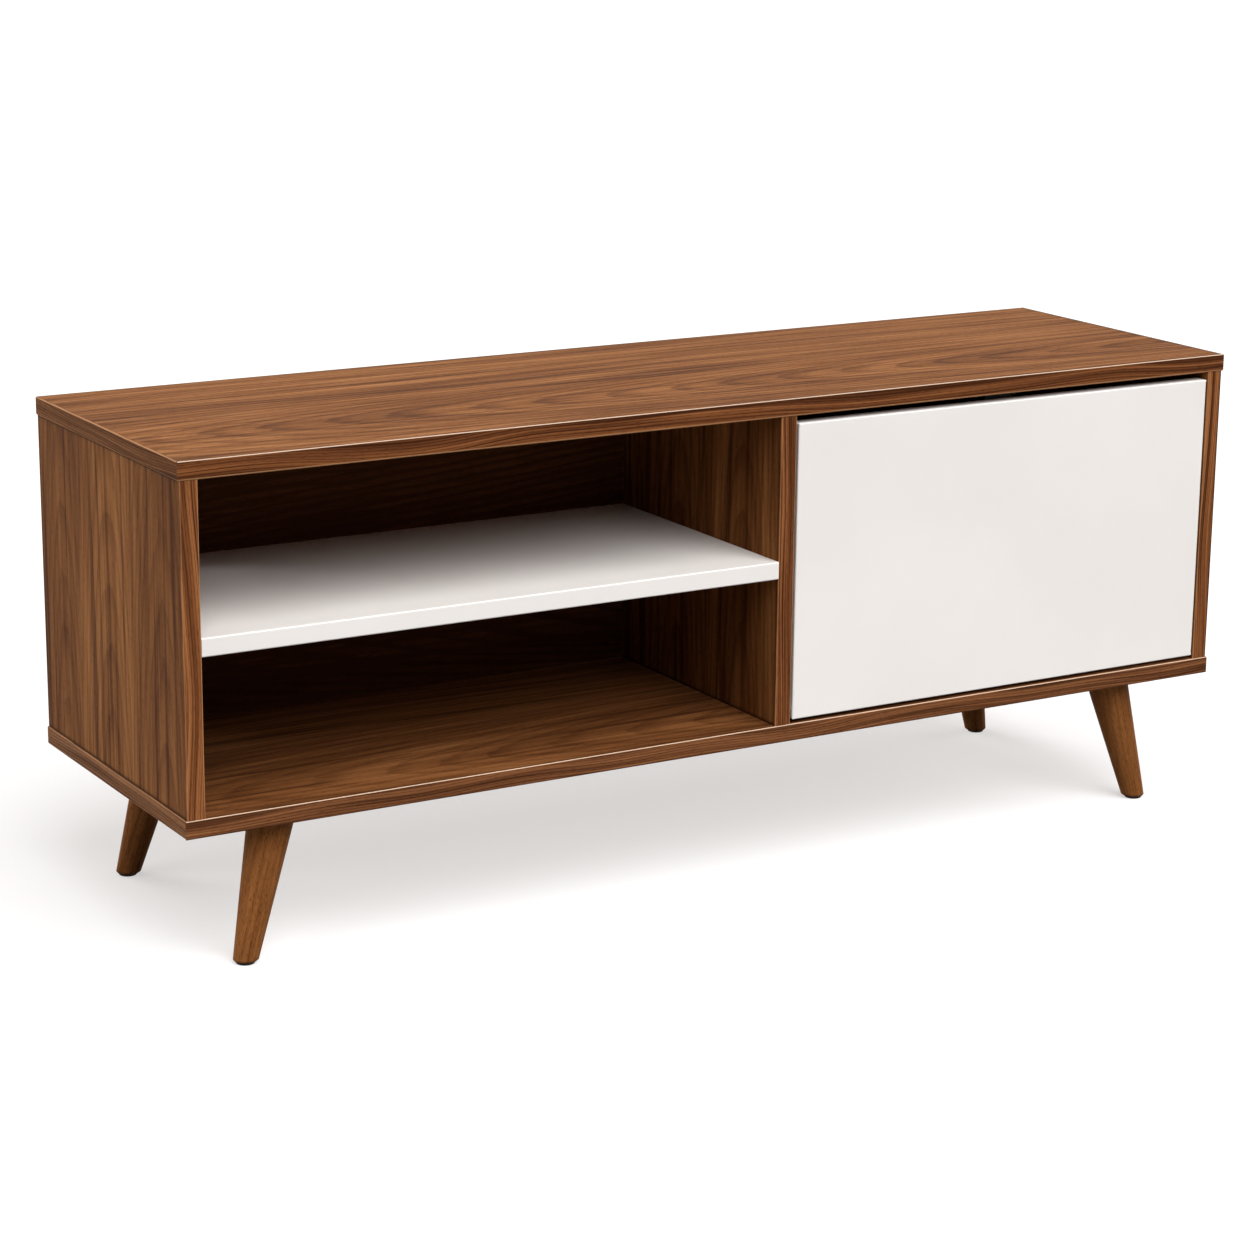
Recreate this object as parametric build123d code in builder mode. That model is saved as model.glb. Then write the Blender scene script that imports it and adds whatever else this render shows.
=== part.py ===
import os
from math import asin, cos, degrees, radians, sin, tan

from build123d import *

# Media cabinet, millimetres. Origin on the floor under the middle of the carcase,
# +X to the right, +Y to the back, +Z up.

# Overall sizes
cabinet_width = 1200
cabinet_depth = 350
carcase_height = 352
leg_height = 140

# Boards and edge bands
board = 18
band = 2
band_land = 0.5
side_inset = 1.5
front_setback = 0.5
left_bay_width = 619
lower_bay_height = 152
back_thickness = 5
back_recess = 40
groove_depth = 6
groove_clearance = 0.1
groove_end_clearance = 0.5

# Cable holes in the back
cable_hole_diameter = 60
cable_hole_inset = 70

# Dowels that join the boards, and the side count of small fasteners
fastener_sides = 6
dowel_diameter = 8
dowel_length = 30
dowel_face_depth = 11
dowel_front_inset = 45
dowel_back_inset = 40
fitting_clearance = 0.1
bore_end_clearance = 0.5

# Mounting screws
screw_diameter = 4
screw_head_diameter = 8
screw_head_height = 2
screw_length = 15

# Splayed legs, cut level at both ends, and their mounting plates
foot_inset_x = 68
foot_inset_y = 30
splay_x = 14.5
splay_y = 5.5
leg_top_diameter = 44
leg_foot_diameter = 23.5
foot_chamfer = 2
glide_diameter = 18
glide_thickness = 2
glide_sides = 12
plate_size = 62
plate_corner = 8
plate_thickness = 2.5
plate_screw_inset = 7.5
hanger_diameter = 8
hanger_depth = 36
nut_flats = 13
nut_height = 8

# Flap and its pivots
door_side_gap = 2.5
door_bottom_gap = 4
door_top_gap = 8
door_setback = 0.5
hinge_setback = 8
hinge_height = 12
pin_diameter = 5
pin_door_depth = 25
pin_bush_depth = 10
running_clearance = 0.06
press_clearance = 0.02
bush_diameter = 8
bush_length = 11
bush_collar = 1

# Stays: the stud and the arm's rivet lie on one circle about the hinge, so that
# the stud stays on the slot's centre line at every opening angle
door_opening = 90
stay_radius = 125
stay_lean = 35
stay_reach = 9
stay_gap = 0.7
arm_width = 14
arm_thickness = 2.5
slot_clearance = 0.2
slot_end_clearance = 0.4
stud_diameter = 6
stud_head_diameter = 11
stud_head = 2
stud_plate_length = 44
stud_plate_width = 16
stud_plate_corner = 3
stud_screw_offset = 15
hardware_plate = 2
rivet_diameter = 5
rivet_head_diameter = 9
rivet_head = 1.2
rivet_play = 0.2
bracket_height = 40
bracket_width = 20
bracket_corner = 3
bracket_screw_offset = 13
bracket_ear_margin = 1

# Magnetic catch
catch_width = 34
catch_depth = 15
catch_round = 2
catch_floor = 3
catch_ear_width = 14
catch_ear_height = 5
magnet_width = 26
magnet_depth = 8
magnet_height = 8
magnet_proud = 0.6
magnet_clearance = 0.1
catch_gap = 0.3
strike_width = 56
strike_height = 14
strike_corner = 2
strike_margin = 2
strike_screw_offset = 22

# Levels and planes worked out from the sizes above
front_y = -cabinet_depth / 2
rear_y = cabinet_depth / 2
left_x = -cabinet_width / 2
right_x = cabinet_width / 2
underside_z = leg_height
bay_floor_z = underside_z + board
top_z = underside_z + carcase_height
bay_ceiling_z = top_z - board
upright_front_y = front_y + front_setback
back_rear_y = rear_y - back_recess
back_front_y = back_rear_y - back_thickness

left_side_x = left_x + side_inset
left_bay_x = left_side_x + board
divider_x = left_bay_x + left_bay_width
door_bay_x = divider_x + board
right_side_x = right_x - side_inset - board
shelf_z = bay_floor_z + lower_bay_height

band_round = band - band_land
dowel_front_y = upright_front_y + dowel_front_inset
dowel_back_y = back_front_y - dowel_back_inset
dowel_rows = (dowel_front_y, (dowel_front_y + dowel_back_y) / 2, dowel_back_y)

door_x0 = door_bay_x + door_side_gap
door_x1 = right_side_x - door_side_gap
door_z0 = bay_floor_z + door_bottom_gap
door_z1 = bay_ceiling_z - door_top_gap
door_front_y = front_y + door_setback
door_back_y = door_front_y + board
hinge_y = door_front_y + hinge_setback
hinge_z = door_z0 + hinge_height

rivet_rise = door_back_y + stay_reach - hinge_y
rivet_lean = degrees(asin(rivet_rise / stay_radius))
rivet_y = hinge_y + rivet_rise
rivet_z = hinge_z + stay_radius * cos(radians(rivet_lean))
stud_y = hinge_y + stay_radius * sin(radians(stay_lean))
stud_z = hinge_z + stay_radius * cos(radians(stay_lean))
stay_angle = stay_lean - rivet_lean
slot_start = 2 * stay_radius * sin(radians(stay_angle / 2))
slot_end = 2 * stay_radius * sin(radians((stay_angle + door_opening) / 2))
arm_drop = (stay_lean + rivet_lean) / 2

leg_rows = {"front_legs": -1, "back_legs": 1}
leg_corners = [(side, end) for end in leg_rows.values() for side in (-1, 1)]
lean_x = tan(radians(splay_x))
lean_y = tan(radians(splay_y))
seat_z = underside_z - plate_thickness

os.makedirs("parts", exist_ok=True)


def save(piece, name):
    piece.part.label = name
    export_step(piece.part, f"parts/{name}.step")


def block(x, y, z, mode=Mode.ADD):
    """Box between a low and a high limit along each axis."""
    with Locations(((x[0] + x[1]) / 2, (y[0] + y[1]) / 2, (z[0] + z[1]) / 2)):
        Box(x[1] - x[0], y[1] - y[0], z[1] - z[0], mode=mode)


def bore(planes, diameter, depth):
    """Blind round holes, each into the face that its plane lies on."""
    with Locations(*planes):
        Hole(diameter / 2, depth)


def cut(tool, planes):
    """Take a tool's shape out of the part at each plane."""
    with Locations(*planes):
        add(tool.part, mode=Mode.SUBTRACT)


def peg(diameter, low, high):
    """Small faceted rod about Z."""
    with BuildSketch(Plane.XY.offset(low)) as section:
        RegularPolygon(diameter / 2, fastener_sides)
    extrude(section.sketch, amount=high - low)


def rod(profile_points):
    """Turned solid about Z from (radius, height) points, closed on the axis."""
    with BuildSketch(Plane.XZ) as half_profile:
        with BuildLine():
            Polyline(*profile_points, close=True)
        make_face()
    revolve(half_profile.sketch, axis=Axis.Z)


def plate_outline(length, width, corner):
    """Rectangle with clipped corners, in the sketch that calls it."""
    clipped = Rectangle(length, width)
    chamfer(clipped.vertices(), corner)


def pattern(prototype, planes, name):
    """One node that repeats a fitting at each plane."""
    with BuildPart() as group:
        with Locations(*planes):
            add(prototype.part)
    save(group, name)


# Small fastenings and the holes they need. A dowel's Z runs out of the receiving
# board; a screw's origin is under its head, on the plate that it holds.
with BuildPart() as dowel:
    peg(dowel_diameter, -dowel_face_depth, dowel_length - dowel_face_depth)

with BuildPart() as dowel_hole:
    peg(
        dowel_diameter + 2 * fitting_clearance,
        -dowel_face_depth - bore_end_clearance,
        dowel_length - dowel_face_depth + bore_end_clearance,
    )

with BuildPart() as screw:
    peg(screw_diameter, -screw_length, 0)
    peg(screw_head_diameter, 0, screw_head_height)

with BuildPart() as screw_hole:
    peg(screw_diameter + 2 * fitting_clearance, -screw_length - bore_end_clearance, 0)

# Where the boards are joined: both ends of each upright and of the shelf
uprights = {"left_side": left_side_x, "divider": divider_x, "right_side": right_side_x}


def end_dowels(z, rise):
    """Dowel planes on the bay floor or ceiling, under or over each upright."""
    return [
        Plane((x + board / 2, y, z), z_dir=(0, 0, rise))
        for x in uprights.values()
        for y in dowel_rows
    ]


def shelf_dowels(x, inward):
    """Dowel planes on an upright's face at one end of the shelf."""
    return [
        Plane((x, y, shelf_z + board / 2), z_dir=(inward, 0, 0))
        for y in (dowel_front_y, dowel_back_y)
    ]


floor_dowels = end_dowels(bay_floor_z, 1)
ceiling_dowels = end_dowels(bay_ceiling_z, -1)
left_shelf_dowels = shelf_dowels(left_bay_x, 1)
right_shelf_dowels = shelf_dowels(divider_x, -1)


# Leg axes: foot at the floor, leaning in towards the carcase both ways
def axis_point(corner, z):
    side, end = corner
    x = side * (right_x - foot_inset_x - lean_x * z)
    y = end * (rear_y - foot_inset_y - lean_y * z)
    return Vector(x, y, z)


def plate_plane(corner, z):
    """Level plane at a leg's axis, looking down."""
    return Plane(axis_point(corner, z), x_dir=(1, 0, 0), z_dir=(0, 0, -1))


def plate_screws(corner):
    """Screw planes on the underside of a leg plate."""
    centre = axis_point(corner, underside_z)
    spread = plate_size / 2 - plate_screw_inset
    return [
        Plane((centre.X + dx, centre.Y + dy, seat_z), z_dir=(0, 0, -1))
        for dx in (-spread, spread)
        for dy in (-spread, spread)
    ]


leg_screws = [plane for corner in leg_corners for plane in plate_screws(corner)]
nut_planes = [plate_plane(corner, underside_z) for corner in leg_corners]
hanger_planes = [Plane(plane.origin, x_dir=plane.x_dir, z_dir=-plane.z_dir) for plane in nut_planes]

with BuildPart() as nut_pocket:
    with BuildSketch():
        RegularPolygon(nut_flats / 2 + fitting_clearance, fastener_sides, major_radius=False)
    extrude(amount=-nut_height - bore_end_clearance)

with BuildPart() as hanger_bolt:
    peg(hanger_diameter, -hanger_depth - plate_thickness, nut_height)

with BuildPart() as hanger_hole:
    peg(
        hanger_diameter + 2 * fitting_clearance,
        -hanger_depth - plate_thickness - bore_end_clearance,
        nut_height + bore_end_clearance,
    )

# Stays: the side they stand on, and the way from that upright's face into the bay
stays = {"left": (door_bay_x, 1), "right": (right_side_x, -1)}
arm_offset = hardware_plate + stay_gap
ear_offset = arm_offset + arm_thickness + stay_gap
bracket_x_offset = ear_offset + hardware_plate


def stud_screws(side):
    """Screw planes on the face of a stud plate."""
    x, inward = stays[side]
    return [
        Plane((x + inward * hardware_plate, stud_y, stud_z + offset), z_dir=(inward, 0, 0))
        for offset in (-stud_screw_offset, stud_screw_offset)
    ]


def bracket_screws(side):
    """Screw planes on the base of a door bracket."""
    x, inward = stays[side]
    screw_x = x + inward * (bracket_x_offset + bracket_width / 2)
    return [
        Plane((screw_x, door_back_y + hardware_plate, rivet_z + offset), z_dir=(0, 1, 0))
        for offset in (-bracket_screw_offset, bracket_screw_offset)
    ]


all_stud_screws = [plane for side in stays for plane in stud_screws(side)]
all_bracket_screws = [plane for side in stays for plane in bracket_screws(side)]

# Catch: magnet face just behind the strike plate on the closed flap
catch_x = (door_x0 + door_x1) / 2
strike_face_y = door_back_y + hardware_plate
magnet_front_y = strike_face_y + catch_gap
catch_front_y = magnet_front_y + magnet_proud
magnet_z = door_z1 - strike_margin - strike_height / 2
catch_bottom_z = magnet_z - magnet_height / 2 - catch_floor
catch_screw_y = catch_front_y + catch_depth / 2
catch_screw_x = catch_width / 2 + catch_ear_width / 2
catch_screws = [
    Plane((catch_x + offset, catch_screw_y, bay_ceiling_z - catch_ear_height), z_dir=(0, 0, -1))
    for offset in (-catch_screw_x, catch_screw_x)
]
strike_screws = [
    Plane((catch_x + offset, strike_face_y, magnet_z), z_dir=(0, 1, 0))
    for offset in (-strike_screw_offset, strike_screw_offset)
]

# Back panel and the grooves that hold it
groove_y = (back_front_y - groove_clearance, back_rear_y + groove_clearance)
groove_x = (left_bay_x - groove_depth, right_side_x + groove_depth)
groove_z = (bay_floor_z - groove_depth, bay_ceiling_z + groove_depth)


def cut_groove():
    block(groove_x, groove_y, groove_z, mode=Mode.SUBTRACT)


# Top and bottom panels with bands on the front and both ends
with BuildPart() as top_panel:
    block((left_x + band, right_x - band), (front_y + band, rear_y), (bay_ceiling_z, top_z))
    cut(dowel_hole, ceiling_dowels)
    cut(screw_hole, catch_screws)
    cut_groove()
save(top_panel, "top_panel")

with BuildPart() as bottom_panel:
    block((left_x + band, right_x - band), (front_y + band, rear_y), (underside_z, bay_floor_z))
    cut(dowel_hole, floor_dowels)
    cut(screw_hole, leg_screws)
    cut(nut_pocket, nut_planes)
    cut_groove()
save(bottom_panel, "bottom_panel")

for panel, z in (("top", (bay_ceiling_z, top_z)), ("bottom", (underside_z, bay_floor_z))):
    with BuildPart() as front_band:
        block((left_x, right_x), (front_y, front_y + band), z)
        front_face = front_band.faces().sort_by(Axis.Y)[0]
        fillet(front_face.edges().filter_by(Axis.X), band_round)
    save(front_band, f"{panel}_front_band")

    for side, x, outer in (("left", left_x, 0), ("right", right_x - band, -1)):
        with BuildPart() as end_band:
            block((x, x + band), (front_y + band, rear_y), z)
            outer_face = end_band.faces().sort_by(Axis.X)[outer]
            fillet(outer_face.edges().filter_by(Axis.Y), band_round)
        save(end_band, f"{panel}_{side}_band")

# Uprights between the top and bottom panels
def bush_plane(side):
    """Plane on an upright's face at the flap's pivot."""
    x, inward = stays[side]
    return Plane((x, hinge_y, hinge_z), z_dir=(inward, 0, 0))


def bush_hole(side):
    bore([bush_plane(side)], bush_diameter + 2 * press_clearance, bush_length + bore_end_clearance)


with BuildPart() as left_side_panel:
    block((left_side_x, left_bay_x), (upright_front_y + band, rear_y), (bay_floor_z, bay_ceiling_z))
    cut(dowel_hole, floor_dowels + ceiling_dowels + left_shelf_dowels)
    cut_groove()
save(left_side_panel, "left_side_panel")

with BuildPart() as centre_divider:
    block((divider_x, door_bay_x), (upright_front_y + band, back_front_y), (bay_floor_z, bay_ceiling_z))
    cut(dowel_hole, floor_dowels + ceiling_dowels + right_shelf_dowels)
    cut(screw_hole, stud_screws("left"))
    bush_hole("left")
save(centre_divider, "centre_divider")

with BuildPart() as right_side_panel:
    block(
        (right_side_x, right_side_x + board),
        (upright_front_y + band, rear_y),
        (bay_floor_z, bay_ceiling_z),
    )
    cut(dowel_hole, floor_dowels + ceiling_dowels)
    cut(screw_hole, stud_screws("right"))
    bush_hole("right")
    cut_groove()
save(right_side_panel, "right_side_panel")

for name, x in uprights.items():
    with BuildPart() as upright_band:
        block((x, x + board), (upright_front_y, upright_front_y + band), (bay_floor_z, bay_ceiling_z))
        front_face = upright_band.faces().sort_by(Axis.Y)[0]
        fillet(front_face.edges().filter_by(Axis.Z), band_round)
    save(upright_band, f"{name}_band")

# Shelf in the open bay
with BuildPart() as shelf:
    block((left_bay_x, divider_x), (upright_front_y + band, back_front_y), (shelf_z, shelf_z + board))
    cut(dowel_hole, left_shelf_dowels + right_shelf_dowels)
save(shelf, "shelf")

with BuildPart() as shelf_band:
    block((left_bay_x, divider_x), (upright_front_y, upright_front_y + band), (shelf_z, shelf_z + board))
    front_face = shelf_band.faces().sort_by(Axis.Y)[0]
    fillet(front_face.edges().filter_by(Axis.X), band_round)
save(shelf_band, "shelf_band")

# Back panel with one cable hole behind each compartment
cable_holes = [
    (left_bay_x + cable_hole_inset, (bay_floor_z + shelf_z) / 2),
    (left_bay_x + cable_hole_inset, (shelf_z + board + bay_ceiling_z) / 2),
    ((door_bay_x + right_side_x) / 2, (bay_floor_z + bay_ceiling_z) / 2),
]
with BuildPart() as back_panel:
    block(
        (groove_x[0] + groove_end_clearance, groove_x[1] - groove_end_clearance),
        (back_front_y, back_rear_y),
        (groove_z[0] + groove_end_clearance, groove_z[1] - groove_end_clearance),
    )
    bore(
        [Plane((x, back_front_y, z), z_dir=(0, -1, 0)) for x, z in cable_holes],
        cable_hole_diameter,
        back_thickness,
    )
save(back_panel, "back_panel")

pattern(dowel, floor_dowels + ceiling_dowels + left_shelf_dowels + right_shelf_dowels, "dowels")

# Legs: straight tapers turned about leaning axes, cut level at the plate and the glide
leg_slope = (leg_top_diameter - leg_foot_diameter) / 2 / seat_z
leg_overrun = leg_top_diameter

for row, end in leg_rows.items():
    with BuildPart() as legs:
        for side in (-1, 1):
            foot = axis_point((side, end), 0)
            up = Vector(-side * lean_x, -end * lean_y, 1)
            across = Vector(1, 0, side * lean_x)
            with BuildSketch(Plane(foot, x_dir=across, z_dir=across.cross(up))):
                with BuildLine():
                    Polyline(
                        (0, -leg_overrun),
                        (leg_foot_diameter / 2 - leg_slope * leg_overrun, -leg_overrun),
                        (leg_top_diameter / 2 + leg_slope * leg_overrun, seat_z + leg_overrun),
                        (0, seat_z + leg_overrun),
                        close=True,
                    )
                make_face()
            revolve(axis=Axis(foot, up))
        split(bisect_by=Plane.XY.offset(glide_thickness), keep=Keep.TOP)
        split(bisect_by=Plane.XY.offset(seat_z), keep=Keep.BOTTOM)
        chamfer(legs.faces().filter_by(Axis.Z).group_by(Axis.Z)[0].edges(), foot_chamfer)
        cut(hanger_hole, hanger_planes)
    save(legs, row)

# Mounting plates with a welded nut let into the bottom panel
with BuildPart() as leg_plates:
    for plane in nut_planes:
        with BuildSketch(plane):
            plate_outline(plate_size, plate_size, plate_corner)
        extrude(amount=plate_thickness)
        with BuildSketch(plane):
            RegularPolygon(nut_flats / 2, fastener_sides, major_radius=False)
        extrude(amount=-nut_height)
    cut(hanger_hole, hanger_planes)
    cut(screw_hole, leg_screws)
save(leg_plates, "leg_plates")
pattern(screw, leg_screws, "leg_plate_screws")
pattern(hanger_bolt, hanger_planes, "hanger_bolts")

with BuildPart() as leg_glides:
    for corner in leg_corners:
        with BuildSketch(plate_plane(corner, glide_thickness)):
            RegularPolygon(glide_diameter / 2, glide_sides)
        extrude(amount=glide_thickness)
save(leg_glides, "leg_glides")

# Flap: panel with a band on each edge and a pivot pin in each end
with BuildPart() as door_panel:
    block(
        (door_x0 + band, door_x1 - band),
        (door_front_y, door_back_y),
        (door_z0 + band, door_z1 - band),
    )
    bore(
        [
            Plane((door_x0, hinge_y, hinge_z), z_dir=(-1, 0, 0)),
            Plane((door_x1, hinge_y, hinge_z), z_dir=(1, 0, 0)),
        ],
        pin_diameter + 2 * press_clearance,
        pin_door_depth + bore_end_clearance,
    )
    cut(screw_hole, all_bracket_screws + strike_screws)
save(door_panel, "door_panel")

for edge, z, outer in (("bottom", door_z0, 0), ("top", door_z1 - band, -1)):
    with BuildPart() as long_band:
        block((door_x0, door_x1), (door_front_y, door_back_y), (z, z + band))
        fillet(long_band.faces().sort_by(Axis.Z)[outer].edges(), band_round)
    save(long_band, f"door_{edge}_band")

for side, x, outer in (("left", door_x0, 0), ("right", door_x1 - band, -1)):
    with BuildPart() as short_band:
        block((x, x + band), (door_front_y, door_back_y), (door_z0 + band, door_z1 - band))
        outer_face = short_band.faces().sort_by(Axis.X)[outer]
        fillet(outer_face.edges().filter_by(Axis.Z), band_round)
        with BuildSketch(Plane((x, hinge_y, hinge_z), z_dir=(1, 0, 0))):
            Circle(pin_diameter / 2 + press_clearance)
        extrude(amount=band, mode=Mode.SUBTRACT)
    save(short_band, f"door_{side}_band")

# Pivots: pins in the flap's ends run in bushes that stand proud of the uprights
with BuildPart() as pin:
    pin_end = door_side_gap + pin_bush_depth
    rod([
        (0, -pin_door_depth),
        (pin_diameter / 2, -pin_door_depth),
        (pin_diameter / 2, pin_end),
        (0, pin_end),
    ])

with BuildPart() as bush:
    bush_bore = pin_diameter / 2 + running_clearance
    rod([
        (bush_bore, -bush_length),
        (bush_diameter / 2, -bush_length),
        (bush_diameter / 2, bush_collar),
        (bush_bore, bush_collar),
    ])

door_pivots = {
    side: Plane((x + inward * door_side_gap, hinge_y, hinge_z), z_dir=(-inward, 0, 0))
    for side, (x, inward) in stays.items()
}
pattern(pin, list(door_pivots.values()), "pivot_pins")
pattern(bush, [bush_plane(side) for side in stays], "pivot_bushes")

# Stud plates on the uprights, each with the headed stud that runs in an arm's slot
stud_length = arm_offset + arm_thickness + stay_gap
with BuildPart() as stay_studs:
    for side, (x, inward) in stays.items():
        stud_plane = Plane((x, stud_y, stud_z), x_dir=(0, 0, 1), z_dir=(inward, 0, 0))
        with BuildSketch(stud_plane):
            plate_outline(stud_plate_length, stud_plate_width, stud_plate_corner)
        extrude(amount=hardware_plate)
        with BuildSketch(stud_plane):
            Circle(stud_diameter / 2)
        extrude(amount=stud_length)
        with BuildSketch(stud_plane.offset(stud_length)):
            Circle(stud_head_diameter / 2)
        extrude(amount=stud_head)
    cut(screw_hole, all_stud_screws)
save(stay_studs, "stay_studs")

# Door brackets: a base on the flap's back and a round-ended ear for the rivet
ear_radius = arm_width / 2 + bracket_ear_margin
with BuildPart() as stay_brackets:
    for side, (x, inward) in stays.items():
        base_x = x + inward * (ear_offset + (bracket_width + hardware_plate) / 2)
        with BuildSketch(Plane((base_x, door_back_y, rivet_z), x_dir=(1, 0, 0), z_dir=(0, 1, 0))):
            plate_outline(bracket_width + hardware_plate, bracket_height, bracket_corner)
        extrude(amount=hardware_plate)
        ear_x = x + inward * ear_offset
        with BuildSketch(Plane((ear_x, rivet_y, rivet_z), x_dir=(0, 1, 0), z_dir=(inward, 0, 0))):
            Circle(ear_radius)
            with Locations((-stay_reach / 2, 0)):
                Rectangle(stay_reach, 2 * ear_radius)
            Circle(rivet_diameter / 2 + press_clearance, mode=Mode.SUBTRACT)
        extrude(amount=hardware_plate)
    cut(screw_hole, all_bracket_screws)
save(stay_brackets, "stay_brackets")

# Rivets set flush in the ears, headed outside the arms
with BuildPart() as rivet:
    shank_end = hardware_plate + stay_gap + arm_thickness + rivet_play
    rod([
        (0, 0),
        (rivet_diameter / 2, 0),
        (rivet_diameter / 2, shank_end),
        (rivet_head_diameter / 2, shank_end),
        (rivet_head_diameter / 2, shank_end + rivet_head),
        (0, shank_end + rivet_head),
    ])
rivet_planes = [
    Plane((x + inward * bracket_x_offset, rivet_y, rivet_z), z_dir=(-inward, 0, 0))
    for x, inward in stays.values()
]
pattern(rivet, rivet_planes, "stay_rivets")

# Slotted arms, X along the slot from the rivet to the stud
slot_length = slot_end - slot_start + 2 * slot_end_clearance
slot_middle = (slot_start + slot_end) / 2
arm_tip = slot_end + arm_width / 2
arm_dir = (0, cos(radians(arm_drop)), -sin(radians(arm_drop)))
for side, (x, inward) in stays.items():
    arm_plane = Plane((x + inward * arm_offset, rivet_y, rivet_z), x_dir=arm_dir, z_dir=(inward, 0, 0))
    with BuildPart() as stay_arm:
        with BuildSketch(arm_plane):
            with Locations((arm_tip / 2, 0)):
                SlotCenterToCenter(arm_tip, arm_width)
            Circle(rivet_diameter / 2 + running_clearance, mode=Mode.SUBTRACT)
            with Locations((slot_middle, 0)):
                SlotCenterToCenter(slot_length, stud_diameter + 2 * slot_clearance, mode=Mode.SUBTRACT)
        extrude(amount=arm_thickness)
    save(stay_arm, f"{side}_stay_arm")

pattern(screw, all_stud_screws, "stay_stud_screws")
pattern(screw, all_bracket_screws, "stay_bracket_screws")

# Magnetic catch under the top panel and its strike plate on the flap
magnet_y = (magnet_front_y, magnet_front_y + magnet_depth)
magnet_z_limits = (magnet_z - magnet_height / 2, magnet_z + magnet_height / 2)
with BuildPart() as catch_housing:
    block(
        (catch_x - catch_width / 2, catch_x + catch_width / 2),
        (catch_front_y, catch_front_y + catch_depth),
        (catch_bottom_z, bay_ceiling_z),
    )
    catch_underside = catch_housing.faces().sort_by(Axis.Z)[0]
    fillet(catch_underside.edges().filter_by(Axis.X), catch_round)
    ear_span = catch_width + 2 * catch_ear_width
    block(
        (catch_x - ear_span / 2, catch_x + ear_span / 2),
        (catch_front_y, catch_front_y + catch_depth),
        (bay_ceiling_z - catch_ear_height, bay_ceiling_z),
    )
    block(
        (catch_x - magnet_width / 2 - magnet_clearance, catch_x + magnet_width / 2 + magnet_clearance),
        (catch_front_y, magnet_y[1] + magnet_clearance),
        (magnet_z_limits[0] - magnet_clearance, magnet_z_limits[1] + magnet_clearance),
        mode=Mode.SUBTRACT,
    )
    cut(screw_hole, catch_screws)
save(catch_housing, "catch_housing")

with BuildPart() as catch_magnet:
    block((catch_x - magnet_width / 2, catch_x + magnet_width / 2), magnet_y, magnet_z_limits)
save(catch_magnet, "catch_magnet")
pattern(screw, catch_screws, "catch_screws")

with BuildPart() as strike_plate:
    with BuildSketch(Plane((catch_x, door_back_y, magnet_z), x_dir=(1, 0, 0), z_dir=(0, 1, 0))):
        plate_outline(strike_width, strike_height, strike_corner)
    extrude(amount=hardware_plate)
    cut(screw_hole, strike_screws)
save(strike_plate, "strike_plate")
pattern(screw, strike_screws, "strike_screws")
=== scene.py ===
from math import radians

import bpy
import numpy as np
from mathutils import Matrix, Vector


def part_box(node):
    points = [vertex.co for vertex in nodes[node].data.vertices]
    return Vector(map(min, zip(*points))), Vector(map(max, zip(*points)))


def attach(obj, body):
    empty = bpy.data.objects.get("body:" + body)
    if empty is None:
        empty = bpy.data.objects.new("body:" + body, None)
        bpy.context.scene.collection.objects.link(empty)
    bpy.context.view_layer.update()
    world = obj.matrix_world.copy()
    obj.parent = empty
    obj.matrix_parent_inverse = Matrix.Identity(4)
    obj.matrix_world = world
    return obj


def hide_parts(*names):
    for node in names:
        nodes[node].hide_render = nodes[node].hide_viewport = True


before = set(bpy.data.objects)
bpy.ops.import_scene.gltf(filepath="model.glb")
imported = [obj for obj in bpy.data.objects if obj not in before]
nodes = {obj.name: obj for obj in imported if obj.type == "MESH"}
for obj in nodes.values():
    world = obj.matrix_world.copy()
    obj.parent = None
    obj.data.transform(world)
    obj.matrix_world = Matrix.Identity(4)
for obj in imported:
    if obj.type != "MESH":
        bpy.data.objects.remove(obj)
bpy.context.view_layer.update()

print("frame loaded:", len(nodes), "nodes")


def colour(rgb):
    return (*rgb, 1.0)


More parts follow.
